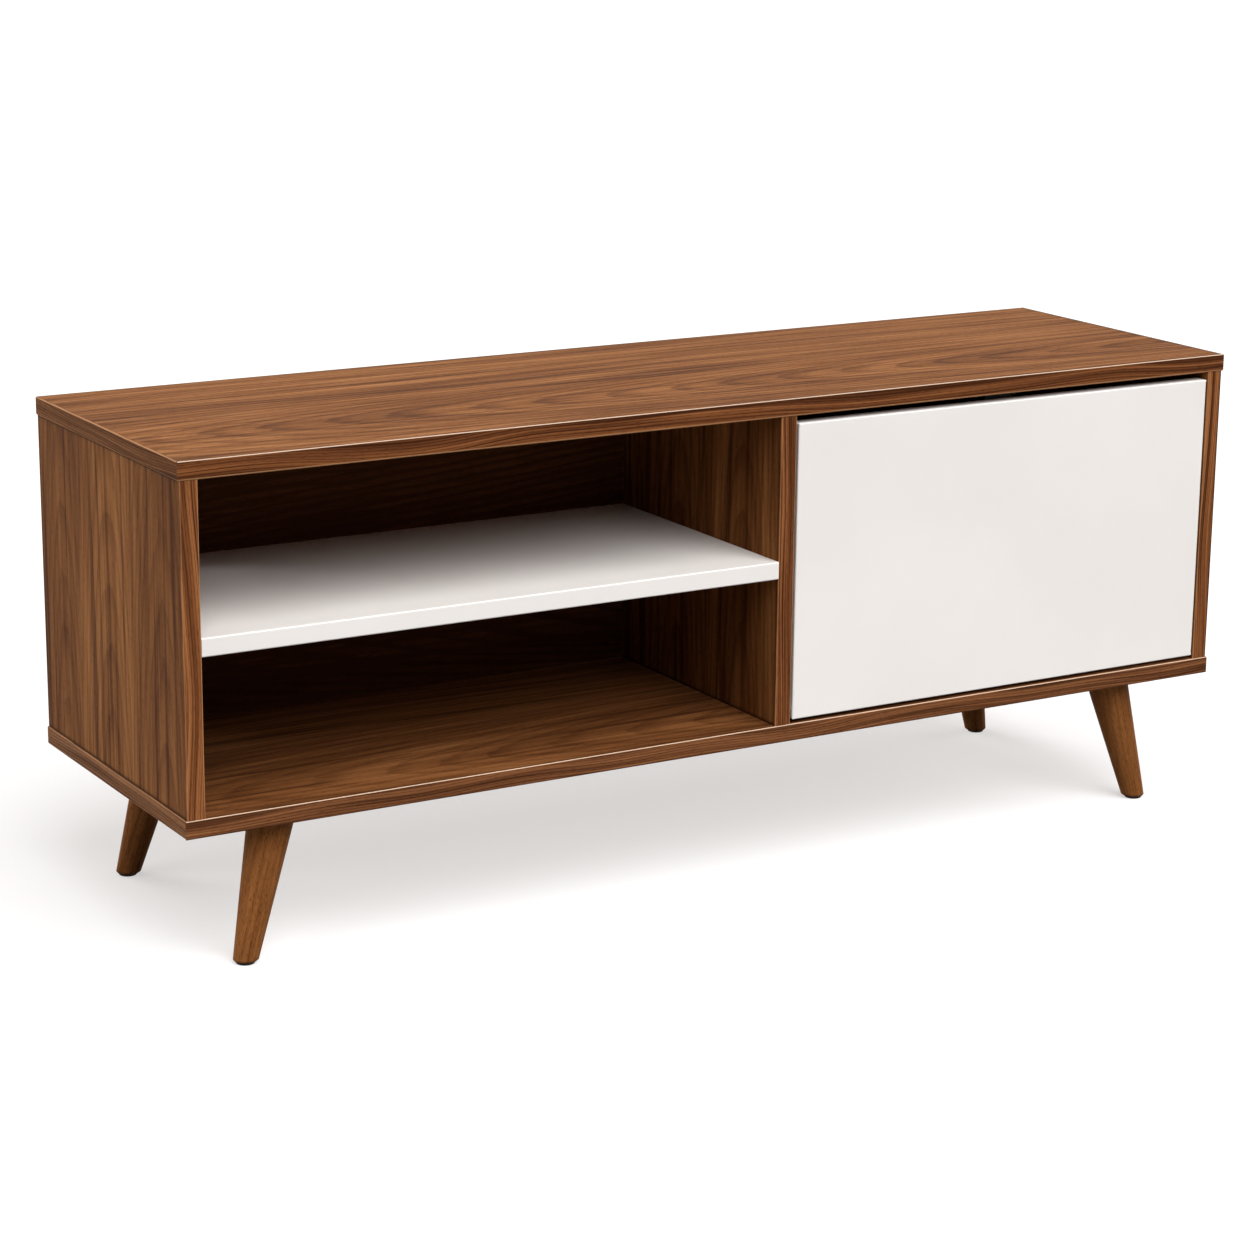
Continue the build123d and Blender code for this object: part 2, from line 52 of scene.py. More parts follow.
# Shader maths: a Tap is one output of a node, and arithmetic on it adds Math nodes
class Tap:
    def __init__(self, socket):
        self.socket = socket

    # Any node: its settings are set first, then the values or links of its sockets
    def node(self, kind, settings, sockets, out=0):
        tree = self.socket.id_data
        made = tree.nodes.new("ShaderNode" + kind)
        for key, value in settings.items():
            if key == "stops":  # colour ramp: (position, colour) pairs
                points = made.color_ramp.elements
                while len(points) < len(value):
                    points.new(1.0)
                for point, (position, rgb) in zip(points, value):
                    point.position = position
                    point.color = colour(rgb)
            else:
                setattr(made, key, value)
        for key, value in sockets.items():
            if isinstance(value, Tap):
                tree.links.new(value.socket, made.inputs[key])
            else:
                made.inputs[key].default_value = value
        return Tap(made.outputs[out]) if made.outputs else None

    def pick(self, name):  # another output of the same node
        return Tap(self.socket.node.outputs[name])

    def math(self, operation, *others):  # a Math node on this value, then the others
        return self.node("Math", {"operation": operation}, dict(enumerate((self, *others))))

    def __add__(self, other):
        return self.math("ADD", other)

    def __sub__(self, other):
        return self.math("SUBTRACT", other)

    def __mul__(self, other):
        return self.math("MULTIPLY", other)

    def __truediv__(self, other):
        return self.math("DIVIDE", other)

    def __rsub__(self, other):
        return self.node("Math", {"operation": "SUBTRACT"}, {0: other, 1: self})

    def __rtruediv__(self, other):
        return self.node("Math", {"operation": "DIVIDE"}, {0: other, 1: self})

    __radd__ = __add__
    __rmul__ = __mul__

    def step(self, low, high):  # smooth rise from 0 at low to 1 at high
        return self.node("MapRange", {"interpolation_type": "SMOOTHSTEP"}, {0: self, 1: low, 2: high})

    # Colour mix with this value as its factor; sockets 6 and 7 and output 2 are the colours
    def mix(self, first, second):
        return self.node("Mix", {"data_type": "RGBA"}, {0: self, 6: first, 7: second}, out=2)

    def ramp(self, stops):
        return self.node("ValToRGB", {"stops": stops}, {0: self})

    def axes(self):  # the three parts of a vector
        parts = self.node("SeparateXYZ", {}, {0: self})
        return {name: parts.pick(name) for name in "XYZ"}

    # Noise on a vector; stretch is in cycles per metre, one number or one for each axis
    def noise(self, stretch, detail=2.0, shift=0.0):
        rates = (stretch,) * 3 if isinstance(stretch, float) else stretch
        scaled = self.node("VectorMath", {"operation": "MULTIPLY"}, {0: self, 1: rates})
        moved = self.node("VectorMath", {"operation": "ADD"}, {0: scaled, 1: (shift, 2 * shift, 3 * shift)})
        return self.node("TexNoise", {}, {"Vector": moved, "Scale": 1.0, "Detail": detail})


def startTree(owner, kind="TexCoord", output="Object"):  # clears the nodes, gives the first one's output
    owner.use_nodes = True
    owner.node_tree.nodes.clear()
    first = owner.node_tree.nodes.new("ShaderNode" + kind)
    return Tap(first.outputs[output])


def principled(place, sockets, bump):  # surface of a material, with a bump height in metres
    normal = place.node("Bump", {}, {"Height": bump, "Distance": 1.0})
    shader = place.node("BsdfPrincipled", {}, {**sockets, "Normal": normal})
    place.node("OutputMaterial", {}, {"Surface": shader})


# Camera at the photo's angle, fitted to the cabinet's corners
cameraView = {
    "azimuth": -30.73, "elevation": 14.73, "roll": 0.60,  # degrees
    "place": (-1.6885, -2.7858, 1.0819),  # metres
    "focal": 3240.0, "image": 1254.0,  # focal length and image width in pixels
    "sensor": 36.0,  # millimetres
}


def setCamera(view):
    turn, lift, roll = (radians(view[key]) for key in ("azimuth", "elevation", "roll"))
    ahead = Vector((-np.sin(turn) * np.cos(lift), np.cos(turn) * np.cos(lift), -np.sin(lift)))
    right = ahead.cross(Vector((0, 0, 1))).normalized()
    up = right.cross(ahead)
    right, up = right * np.cos(roll) + up * np.sin(roll), up * np.cos(roll) - right * np.sin(roll)
    data = bpy.data.cameras.new("photoCamera")
    data.sensor_width = view["sensor"]
    data.lens = view["sensor"] * view["focal"] / view["image"]
    camera = bpy.data.objects.new("photoCamera", data)
    bpy.context.scene.collection.objects.link(camera)
    turned = Matrix((right, up, -ahead)).transposed().to_4x4()
    camera.matrix_world = Matrix.Translation(view["place"]) @ turned
    bpy.context.scene.camera = camera


setCamera(cameraView)
bpy.context.scene.view_settings.view_transform = "Standard"
print("camera set")

# Studio: wide soft lamps, a dim room that looks white to the camera, and a white floor
softLamps = {  # direction towards the lamp, spread in degrees, level on a surface that faces it
    "front": ((0.05, -0.62, 0.78), 56.0, 1.25),
    "left": ((-0.92, 0.02, 0.40), 50.0, 0.33),
    "right": ((0.92, -0.15, 0.36), 40.0, 0.27),
    "rear": ((-0.40, 0.80, 0.40), 40.0, 0.42),
}
studio = {  # floorSeen and floorLift are for rays that see the floor, floorBounce for the rest
    "room": (0.02, 0.02, 0.02), "backdrop": (1.0, 1.0, 1.0),
    "floorSeen": (0.47, 0.47, 0.47), "floorLift": (0.560, 0.540, 0.530), "floorBounce": (0.22, 0.22, 0.22),
    "floorSize": 60.0,  # metres
}


def addSoftLamp(name, towards, spread, level):
    data = bpy.data.lights.new(name, "SUN")
    data.angle = radians(spread)
    data.energy = level * np.pi  # a white card that faces the lamp renders at this level
    lamp = bpy.data.objects.new(name, data)
    lamp.rotation_euler = (-Vector(towards)).to_track_quat("-Z", "Y").to_euler()
    bpy.context.scene.collection.objects.link(lamp)


def seenRays(owner):  # 1 for rays that show the background: camera, glossy and transmission
    camera = startTree(owner, "LightPath", "Is Camera Ray")
    both = camera.math("MAXIMUM", camera.pick("Is Glossy Ray"))
    return both.math("MAXIMUM", camera.pick("Is Transmission Ray"))


def setRoom(look):
    world = bpy.data.worlds.new("studioRoom")
    bpy.context.scene.world = world
    seen = seenRays(world)
    dim = seen.node("Background", {}, {"Color": colour(look["room"])})
    white = seen.node("Background", {}, {"Color": colour(look["backdrop"])})
    seen.node("OutputWorld", {}, {"Surface": seen.node("MixShader", {}, {0: seen, 1: dim, 2: white})})


def floorPaint(look):
    paint = bpy.data.materials.new("floorPaint")
    seen = seenRays(paint)
    bounce = seen.node("BsdfDiffuse", {}, {"Color": colour(look["floorBounce"])})
    pale = seen.node("BsdfDiffuse", {}, {"Color": colour(look["floorSeen"])})
    lift = seen.node("Emission", {}, {"Color": colour(look["floorLift"])})
    shown = seen.node("AddShader", {}, {0: pale, 1: lift})
    seen.node("OutputMaterial", {}, {"Surface": seen.node("MixShader", {}, {0: seen, 1: bounce, 2: shown})})
    return paint


def addFloor(look):
    half = look["floorSize"] / 2
    corners = [(-half, -half, 0), (half, -half, 0), (half, half, 0), (-half, half, 0)]
    mesh = bpy.data.meshes.new("studioFloor")
    mesh.from_pydata(corners, [], [(0, 1, 2, 3)])
    mesh.materials.append(floorPaint(look))
    floor = bpy.data.objects.new("studioFloor", mesh)
    bpy.context.scene.collection.objects.link(floor)


for name, values in softLamps.items():
    addSoftLamp(name, *values)
setRoom(studio)
addFloor(studio)
print("studio set:", len(softLamps), "soft lamps")

# Walnut: slip-matched leaves of veneer, each cut across growth rings round a leaning heart
toneStops = (0.0, 0.34, 0.62, 1.0)  # tones at which a look's four colours stand
veneerLook = {
    # lengths in metres, taper in metres per metre, rates in cycles per metre; lean is the way that the heart
    # sinks along the grain, and scatter a share of a leaf
    "leaf": 0.36, "ring": 0.0060, "line": 0.0085, "taper": 0.085, "heart": 0.014, "shift": 0.09,
    "sway": 0.030, "swayRate": 1.7, "fibreRate": 160.0, "lean": -1, "scatter": 0.2,
    # middle of the tone, and each pattern's weight on it
    "middle": 0.655, "drift": 0.4, "stripe": 1.2, "fibre": 0.95, "late": 0.30, "streak": 0.40, "pore": 0.2,
    "leafTone": 0.14,
    "colours": ((0.066, 0.022, 0.007), (0.140, 0.051, 0.016), (0.222, 0.087, 0.029), (0.370, 0.164, 0.060)),
    # surface, with heights in metres
    "roughness": 0.58, "fibreRough": 0.16, "poreRough": 0.18, "gloss": 0.03,
    "fibreHeight": 0.00006, "poreDepth": 0.00009,
}
sideLook = {
    **veneerLook, "leaf": 0.125, "ring": 0.0068, "line": 0.010, "taper": 0.10, "heart": 0.012, "shift": 0.0,
    "sway": 0.016, "lean": 1, "scatter": 0.7,
    "middle": 0.675, "stripe": 1.0, "late": 0.17, "streak": 0.42, "leafTone": 0.2,
    "colours": ((0.064, 0.020, 0.006), (0.138, 0.049, 0.0135), (0.220, 0.084, 0.025), (0.365, 0.158, 0.052)),
}
# the divider's veneer darker, painted shade inside the bays
dividerShadeLook = {**sideLook, "middle": 0.48}
# the bottom board's veneer darker, painted shade on the bays' floor
bayFloorShadeLook = {**veneerLook, "shift": 0.13, "middle": 0.40, "stripe": 0.8, "late": 0.17}
# the back panel's veneer darkened to paint the shade at the back of the bays
backShadeLook = {**veneerLook, "middle": 0.08, "stripe": 0.4, "fibre": 0.6, "streak": 0.2}
bandLook = {
    **veneerLook, "leaf": 1.0, "ring": 0.0028, "line": 0.0036, "taper": 0.004, "heart": 0.004, "shift": 0.0,
    "sway": 0.020, "swayRate": 5.0, "fibreRate": 300.0, "lean": 1, "scatter": 1.0,
    "middle": 0.51, "drift": 0.1, "stripe": 2.2, "late": 0.3, "streak": 0.5,
    "colours": ((0.052, 0.016, 0.0055), (0.116, 0.038, 0.013), (0.205, 0.071, 0.024), (0.350, 0.138, 0.048)),
    "roughness": 0.50, "gloss": 0.02,
}
lowBandLook = {
    **bandLook,
    "colours": ((0.052, 0.018, 0.007), (0.116, 0.042, 0.0165), (0.205, 0.078, 0.030), (0.350, 0.148, 0.058)),
}
endBandLook = {
    **bandLook, "middle": 0.61, "stripe": 1.8, "streak": 0.4,
    "colours": ((0.056, 0.019, 0.0055), (0.118, 0.043, 0.0125), (0.207, 0.079, 0.026), (0.350, 0.148, 0.052)),
}
lowEndBandLook = {
    **endBandLook, "middle": 0.65,
    "colours": ((0.070, 0.026, 0.010), (0.145, 0.059, 0.023), (0.235, 0.102, 0.043), (0.360, 0.168, 0.078)),
}
uprightBandLook = {**bandLook, "middle": 0.66}
dividerBandLook = {**bandLook, "middle": 0.56}
legLook = {
    **bandLook, "leaf": 0.5, "ring": 0.006, "taper": 0.02, "heart": 0.01, "sway": 0.012, "swayRate": 1.7,
    "scatter": 0.7, "middle": 0.61, "stripe": 0.6, "fibre": 0.5, "late": 0.14, "streak": 0.12, "pore": 0.4,
    "colours": ((0.058, 0.019, 0.005), (0.145, 0.051, 0.014), (0.236, 0.087, 0.025), (0.340, 0.141, 0.046)),
}
ringForm = {  # how far stripes and ripples push a ring, in rings, and where patterns rise and fall
    "stripePush": 1.6, "ripplePush": 0.5, "lateRise": (0.45, 0.92), "lateFall": (0.93, 1.0),
    "streakRise": (0.54, 0.70), "poreRise": (0.60, 0.74),
}
leafLuck = {"heart": 2.0, "start": 0.3, "apart": 3.7, "seedStep": 7.0}  # how far leaves differ
grainSeeds = {"boards": 1.0, "bands": 21.0, "legs": 40.0}


def figureNoises(look):  # stretch along the grain, across it and into the board; detail; shift of the seed
    fibres, lines = look["fibreRate"], 1 / look["line"]
    return {
        "sway": ((look["swayRate"], 9.0, 9.0), 0.0, 0.0),
        "stripe": ((1.1, 0.42 / look["ring"], 1.0), 3.0, 4.4),
        "ripple": ((3.0, 90.0, 90.0), 1.0, 3.1),
        "fibre": ((5.5, fibres, fibres), 4.0, 1.7),
        "streak": ((2.4, lines, lines), 2.0, 5.3),
        "pore": ((130.0, 2300.0, 2300.0), 0.0, 8.9),
        "drift": ((1.6, 9.0, 9.0), 1.0, 2.2),
    }


def grainTone(place, along, across, look, start, seed):
    # radius = distance from the heart line; stripes and ring lines follow the radius, the rest the grain
    noises = figureNoises(look)

    def figure(space, name):
        stretch, detail, shift = noises[name]
        return space.noise(stretch, detail, seed + shift)

    axes = place.axes()
    deep = next(name for name in "XYZ" if name not in (along, across))
    grain = (axes[along] - start[0]) * look["lean"]
    side = axes[across] - start[1]
    flat = place.node("CombineXYZ", {}, {"X": grain, "Y": side, "Z": axes[deep]})
    swayed = side + (figure(flat, "sway") - 0.5) * look["sway"]
    board = place.node("CombineXYZ", {}, {"X": grain, "Y": swayed, "Z": axes[deep]})
    leaf = (side / look["leaf"]).math("FLOOR")
    draw = leaf + seed * leafLuck["seedStep"]
    chance = leaf.node("TexWhiteNoise", {"noise_dimensions": "1D"}, {"W": draw}, out="Color").axes()
    offset = swayed - (leaf + 0.5 + (chance["X"] - 0.5) * look["scatter"]) * look["leaf"] + look["shift"]
    depth = look["heart"] + chance["Y"] * look["heart"] * leafLuck["heart"]
    heart = depth + (grain + chance["Z"] * leafLuck["start"]) * look["taper"]
    radius = (offset * offset + heart * heart).math("SQRT")
    rings = place.node("CombineXYZ", {}, {"X": grain, "Y": radius, "Z": leaf * leafLuck["apart"]})
    stripe = figure(rings, "stripe") - 0.5
    ripple = figure(board, "ripple") - 0.5
    turns = radius / look["ring"] + stripe * ringForm["stripePush"] + ripple * ringForm["ripplePush"]
    ring = turns.math("FRACT")
    late = ring.step(*ringForm["lateRise"]) * (1 - ring.step(*ringForm["lateFall"]))
    fibre = figure(board, "fibre")
    streak = figure(board, "streak").step(*ringForm["streakRise"])
    pore = figure(board, "pore").step(*ringForm["poreRise"])
    drift = figure(board, "drift") - 0.5
    tone = look["middle"] + drift * look["drift"] + stripe * look["stripe"] + (fibre - 0.5) * look["fibre"]
    tone = tone - late * look["late"] - streak * look["streak"] - pore * look["pore"]
    return tone + (chance["Y"] - 0.5) * look["leafTone"], fibre, pore


# Bare board behind the veneer: chipboard in the thick boards, hardboard in the thin back
chipLook = {
    "flakes": 420.0, "flakeWeight": 0.7, "grit": 900.0, "gritWeight": 0.5,
    "stops": ((0.15, (0.20, 0.125, 0.065)), (0.6, (0.42, 0.29, 0.165)), (0.95, (0.60, 0.45, 0.28))),
}
hardboardLook = {  # rates in cycles per metre, screen in radians per metre
    "fibres": (500.0, 500.0, 1400.0), "fibreShift": 6.1, "screen": 2200.0, "screenWeight": 0.06,
    "patches": 7.0, "patchWeight": 0.3, "detail": 3.0,
    "stops": ((0.25, (0.150, 0.088, 0.045)), (0.5, (0.245, 0.150, 0.080)), (0.8, (0.36, 0.235, 0.135))),
}


def chipboard(place):  # flakes of mixed tone
    look = chipLook
    flakes = place.node("TexVoronoi", {}, {"Vector": place, "Scale": look["flakes"]}, out="Color")
    tone = flakes.axes()["X"] * look["flakeWeight"] + place.noise(look["grit"]) * look["gritWeight"]
    return tone.ramp(look["stops"])


def hardboard(place):  # pressed fibres with the mark of the press screen
    look = hardboardLook
    axes = place.axes()
    fibre = place.noise(look["fibres"], look["detail"], look["fibreShift"])
    screen = (axes["X"] * look["screen"]).math("SINE") * (axes["Z"] * look["screen"]).math("SINE")
    patch = place.noise(look["patches"], look["detail"]) - 0.5
    return (fibre + screen * look["screenWeight"] + patch * look["patchWeight"]).ramp(look["stops"])


# Edges of boards and bands: bare board, glue lines, dark joints, painted highlights and painted shade
# pale colour of the painted highlights along the bands' rounded edges
paleHighlight = (0.50, 0.25, 0.115)
arrisHighlightAndShade = {  # painted highlight or painted shade on a band's rounded edge: colour, weight, metres from the sharp corner where it is full and gone
    "fullHighlight": (paleHighlight, 0.75, 0.0010, 0.0013),
    "wide": (paleHighlight, 0.75, 0.0013, 0.0019),
    "soft": (paleHighlight, 0.50, 0.0010, 0.0014),
    "faint": (paleHighlight, 0.45, 0.0009, 0.0011),
    # the two brightest painted highlights, on the front bands' upper edges
    "bare": ((0.75, 0.56, 0.42), 0.90, 0.0009, 0.0011),
    "paleRimHighlight": ((0.72, 0.52, 0.375), 0.87, 0.0009, 0.0011),
    # painted shade along a band's lower edge
    "shaded": ((0.040, 0.013, 0.004), 0.60, 0.0009, 0.0014),
    # a dark line along the edge
    "darkRim": ((0.030, 0.010, 0.003), 0.85, 0.0018, 0.0026),
}
glueLine = {"tint": (0.03, 0.012, 0.006), "weight": 0.55, "from": 0.0017, "to": 0.0019}  # metres inwards
rearEdge = {"from": 0.0004, "to": 0.0002, "rough": 0.35}  # bare board, in metres before the rear face
# colour of the painted shade and the dark joint lines along edges
shadeAndStainTint = (0.022, 0.008, 0.003)
edgeShadeAndStain = {  # darkening along edges (axis, side of the piece, reach in metres, weight): painted shade along rear edges, at an upright's head and foot and at a leg's foot; a darker end edge; a dark joint line at the joint
    "rear": ("Y", 1, 0.006, 0.65), "end": ("X", 1, 0.006, 0.6), "joint": ("Y", -1, 0.003, 0.5),
    "foot": ("Z", -1, 0.0045, 0.95), "head": ("Z", 1, 0.003, 0.8), "legFootShade": ("Z", -1, 0.0045, 1.0),
}
axisIndex = {"X": 0, "Y": 1, "Z": 2}


def shadeAndStainEdges(shade, axes, box, names):  # painted shade and dark joint lines along edges of a piece
    for name in names:
        axis, sign, reach, weight = edgeShadeAndStain[name]
        edge = box[sign > 0][axisIndex[axis]]
        darkening = 1 - ((edge - axes[axis]) * sign).step(0.0, reach)
        shade = (darkening * weight).mix(shade, colour(shadeAndStainTint))
    return shade


def paintArrisHighlightShadeAndGlue(shade, axes, box, across, out, sign, rimPaints):  # painted highlight or painted shade along a band's rounded edges, and its glue line
    low, high = (corner[axisIndex[across]] for corner in box)
    inward = (axes[out] - box[sign > 0][axisIndex[out]]).math("ABSOLUTE")
    for rim, finish in zip((axes[across] - low, high - axes[across]), rimPaints):
        tint, weight, full, gone = arrisHighlightAndShade[finish]
        # mask of the painted highlight or painted shade along this rim
        edge = 1 - (inward + rim).step(full, gone)
        shade = (edge * weight).mix(shade, colour(tint))
    glue = inward.step(glueLine["from"], glueLine["to"])
    return (glue * glueLine["weight"]).mix(shade, colour(glueLine["tint"]))


# Walnut on one node; a band gives its outward axis, the sign and the painted highlight or shade of its two
# edges, a leg its grain attribute
def walnut(node, along, across, look, start, seed, shadesAndStains=(), rear=None, band=None, attribute=None):
    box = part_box(node)
    material = bpy.data.materials.new("walnut_" + node)
    place = startTree(material)
    axes = place.axes()
    wood = place.node("Attribute", {"attribute_name": attribute}, {}, out="Vector") if attribute else place
    tone, fibre, pore = grainTone(wood, along, across, look, start, seed)
    rough = look["roughness"] + (0.5 - fibre) * look["fibreRough"] + pore * look["poreRough"]
    height = fibre * look["fibreHeight"] - pore * look["poreDepth"]
    shade = shadeAndStainEdges(tone.ramp(tuple(zip(toneStops, look["colours"]))), axes, box, shadesAndStains)
    if rear:
        bare = axes["Y"].step(box[1].y - rearEdge["from"], box[1].y - rearEdge["to"])
        shade = bare.mix(shade, rear(place))
        rough = rough + bare * rearEdge["rough"]
    if band:
        shade = paintArrisHighlightShadeAndGlue(shade, axes, box, across, *band)
    principled(place, {"Base Color": shade, "Roughness": rough, "Specular IOR Level": look["gloss"]}, height)
    return material


def dress(node, material):  # a CAD node keeps its shape and takes this finish
    nodes[node].data.materials.clear()
    nodes[node].data.materials.append(material)


boardGrain = {  # grain axis, the axis across it, look, edges darkened by painted shade and joint lines, board behind the veneer
    "top_panel": ("X", "Y", veneerLook, ("rear", "end"), chipboard),
    "bottom_panel": ("X", "Y", bayFloorShadeLook, ("rear", "joint"), chipboard),
    "left_side_panel": ("Z", "Y", sideLook, ("rear", "foot", "head"), chipboard),
    "right_side_panel": ("Z", "Y", sideLook, ("rear", "foot", "head"), chipboard),
    "centre_divider": ("Z", "Y", dividerShadeLook, ("foot", "head", "joint"), chipboard),
    "back_panel": ("X", "Z", backShadeLook, (), hardboard),
}
bandLies = {  # grain axis, the axis across it, outward axis and its sign
    "front": ("X", "Z", "Y", -1), "left": ("Y", "Z", "X", -1), "right": ("Y", "Z", "X", 1),
    "upright": ("Z", "X", "Y", -1),
}
bandGrain = {  # how the band lies, its look, and the highlight, shade or dark line painted on its low and high edges
    "top_front_band": ("front", bandLook, ("wide", "bare")),
    "top_left_band": ("left", endBandLook, ("soft", "fullHighlight")),
    "top_right_band": ("right", endBandLook, ("wide", "darkRim")),
    "bottom_front_band": ("front", lowBandLook, ("shaded", "paleRimHighlight")),
    "bottom_left_band": ("left", lowEndBandLook, ("faint", "faint")),
    "bottom_right_band": ("right", lowEndBandLook, ("faint", "faint")),
    "left_side_band": ("upright", uprightBandLook, ("faint", "fullHighlight")),
    "right_side_band": ("upright", uprightBandLook, ("faint", "darkRim")),
    "divider_band": ("upright", dividerBandLook, ("faint", "fullHighlight")),
}


def dressBoards():
    for order, (node, (along, across, look, shadesAndStains, rear)) in enumerate(boardGrain.items()):
        low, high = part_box(node)
        start = ((low if look["lean"] > 0 else high)[axisIndex[along]], low[axisIndex[across]])
        seed = grainSeeds["boards"] + order
        dress(node, walnut(node, along, across, look, start, seed, shadesAndStains=shadesAndStains, rear=rear))


def dressBands():
    for order, (node, (lie, look, rimPaints)) in enumerate(bandGrain.items()):
        along, across, out, sign = bandLies[lie]
        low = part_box(node)[0]
        start = (low[axisIndex[along]], low[axisIndex[across]])
        seed = grainSeeds["bands"] + order
        dress(node, walnut(node, along, across, look, start, seed, band=(out, sign, rimPaints)))


dressBoards()
dressBands()
print("walnut on", len(boardGrain), "boards and", len(bandGrain), "bands")

# White lacquer on the flap and the shelf: satin, with a faint orange peel
lacquerLook = {
    "pale": (0.845, 0.808, 0.775), "shade": (0.81, 0.772, 0.738), "clouds": 5.0, "cloudShift": 4.0,
    "cloudDetail": 3.0, "cloudRise": (0.3, 0.7), "peel": 700.0, "peelDetail": 1.0, "peelHeight": 0.00003,
    "roughness": 0.38, "cloudRough": 0.12, "peelRough": 0.05, "gloss": 0.35,
}
lacquered = ["shelf", "shelf_band", "door_panel", "door_top_band", "door_bottom_band", "door_left_band",
             "door_right_band"]


def whiteLacquer(look):
    material = bpy.data.materials.new("white_lacquer")
    place = startTree(material)
    cloud = place.noise(look["clouds"], look["cloudDetail"], look["cloudShift"])
    peel = place.noise(look["peel"], look["peelDetail"])
    shade = cloud.step(*look["cloudRise"]).mix(colour(look["shade"]), colour(look["pale"]))
    rough = look["roughness"] + (cloud - 0.5) * look["cloudRough"] + (peel - 0.5) * look["peelRough"]
    sockets = {"Base Color": shade, "Roughness": rough, "Specular IOR Level": look["gloss"]}
    principled(place, sockets, peel * look["peelHeight"])
    return material


lacquer = whiteLacquer(lacquerLook)
for node in lacquered:
    dress(node, lacquer)
print("lacquer on", len(lacquered), "nodes")

# Metal and plastic fittings
steelLook = {
    "bright": (0.66, 0.66, 0.65), "dull": (0.50, 0.50, 0.49), "patches": 55.0, "patchDetail": 3.0,
    "patchShift": 2.0, "patchRise": (0.35, 0.65), "brushed": (2200.0, 60.0, 60.0), "brushHeight": 0.00002,
    "roughness": 0.42, "brushRough": 0.2, "patchRough": 0.2,
}
steelNodes = ["leg_plates", "pivot_pins", "stay_studs", "stay_brackets", "stay_rivets", "strike_plate",
              "left_stay_arm", "right_stay_arm"]
plasticLook = {"grain": 1500.0, "grainDetail": 1.0, "grainRough": 0.2, "grainHeight": 0.00003,
               "clouds": 90.0, "gloss": 0.15}
plastics = {  # pale and dark colour, roughness
    "white_nylon": ((0.80, 0.79, 0.76), (0.72, 0.71, 0.68), 0.42),
    "dark_nylon": ((0.030, 0.028, 0.026), (0.014, 0.013, 0.012), 0.55),
    "ferrite": ((0.075, 0.075, 0.078), (0.04, 0.04, 0.042), 0.6),
}
plasticNodes = {"pivot_bushes": "white_nylon", "catch_housing": "dark_nylon", "catch_magnet": "ferrite"}


def zincSteel(look):
    material = bpy.data.materials.new("zinc_steel")
    place = startTree(material)
    brushed = place.noise(look["brushed"])
    patch = place.noise(look["patches"], look["patchDetail"], look["patchShift"])
    shade = patch.step(*look["patchRise"]).mix(colour(look["dull"]), colour(look["bright"]))
    rough = look["roughness"] + (brushed - 0.5) * look["brushRough"] + (patch - 0.5) * look["patchRough"]
    sockets = {"Base Color": shade, "Metallic": 1.0, "Roughness": rough}
    principled(place, sockets, brushed * look["brushHeight"])
    return material


def mouldedPlastic(name, look):
    pale, dark, roughness = plastics[name]
    material = bpy.data.materials.new(name)
    place = startTree(material)
    grain = place.noise(look["grain"], look["grainDetail"])
    shade = place.noise(look["clouds"]).mix(colour(dark), colour(pale))
    rough = roughness + (grain - 0.5) * look["grainRough"]
    sockets = {"Base Color": shade, "Roughness": rough, "Specular IOR Level": look["gloss"]}
    principled(place, sockets, grain * look["grainHeight"])
    return material


steel = zincSteel(steelLook)
for node in steelNodes:
    dress(node, steel)
moulded = {name: mouldedPlastic(name, plasticLook) for name in plastics}
for node, name in plasticNodes.items():
    dress(node, moulded[name])
print("steel on", len(steelNodes), "fittings, plastic on", len(plasticNodes))

# Meshes from arrays
sharpAngle = radians(38)  # steeper edges stay crisp


def islandBoxes(node, gap):  # corners of a node's separate solids, split where a coordinate jumps by over gap
    points = np.zeros(len(nodes[node].data.vertices) * 3)
    nodes[node].data.vertices.foreach_get("co", points)
    groups = [points.reshape(-1, 3)]
    for axis in range(3):
        ordered = [group[np.argsort(group[:, axis])] for group in groups]
        cuts = [np.where(np.diff(group[:, axis]) > gap)[0] + 1 for group in ordered]
        groups = [part for group, cut in zip(ordered, cuts) for part in np.split(group, cut)]
    return [(group.min(0), group.max(0)) for group in groups]


def fullTurn(count):  # angles once round, without the last, which is the first again
    return np.linspace(0, 2 * np.pi, count, endpoint=False)


def ringSolid(rings):  # closed solid from rings (count, around, 3): quads between them, a fan at each end
    count, around = rings.shape[:2]
    index = np.arange(count * around).reshape(count, around)
    ahead = np.roll(index, -1, 1)
    quads = np.stack([index[:-1], ahead[:-1], ahead[1:], index[1:]], -1).reshape(-1, 4)
    low, high = count * around, count * around + 1
    points = np.vstack([rings.reshape(-1, 3), rings[0].mean(0), rings[-1].mean(0)])
    lowFan = np.stack([ahead[0], index[0], np.full(around, low)], -1)
    highFan = np.stack([index[-1], ahead[-1], np.full(around, high)], -1)
    return points, quads.tolist() + lowFan.tolist() + highFan.tolist()


def roundRings(radii, heights, turn):  # point = (radius * cos(turn), radius * sin(turn), height)
    return np.stack([radii * np.cos(turn), radii * np.sin(turn), heights + 0 * turn], -1)


def joinSolids(solids):
    starts = np.cumsum([0] + [len(points) for points, own in solids])
    faces = []
    for start, (points, own) in zip(starts, solids):
        faces += [[corner + start for corner in face] for face in own]
    return np.vstack([points for points, own in solids]), faces


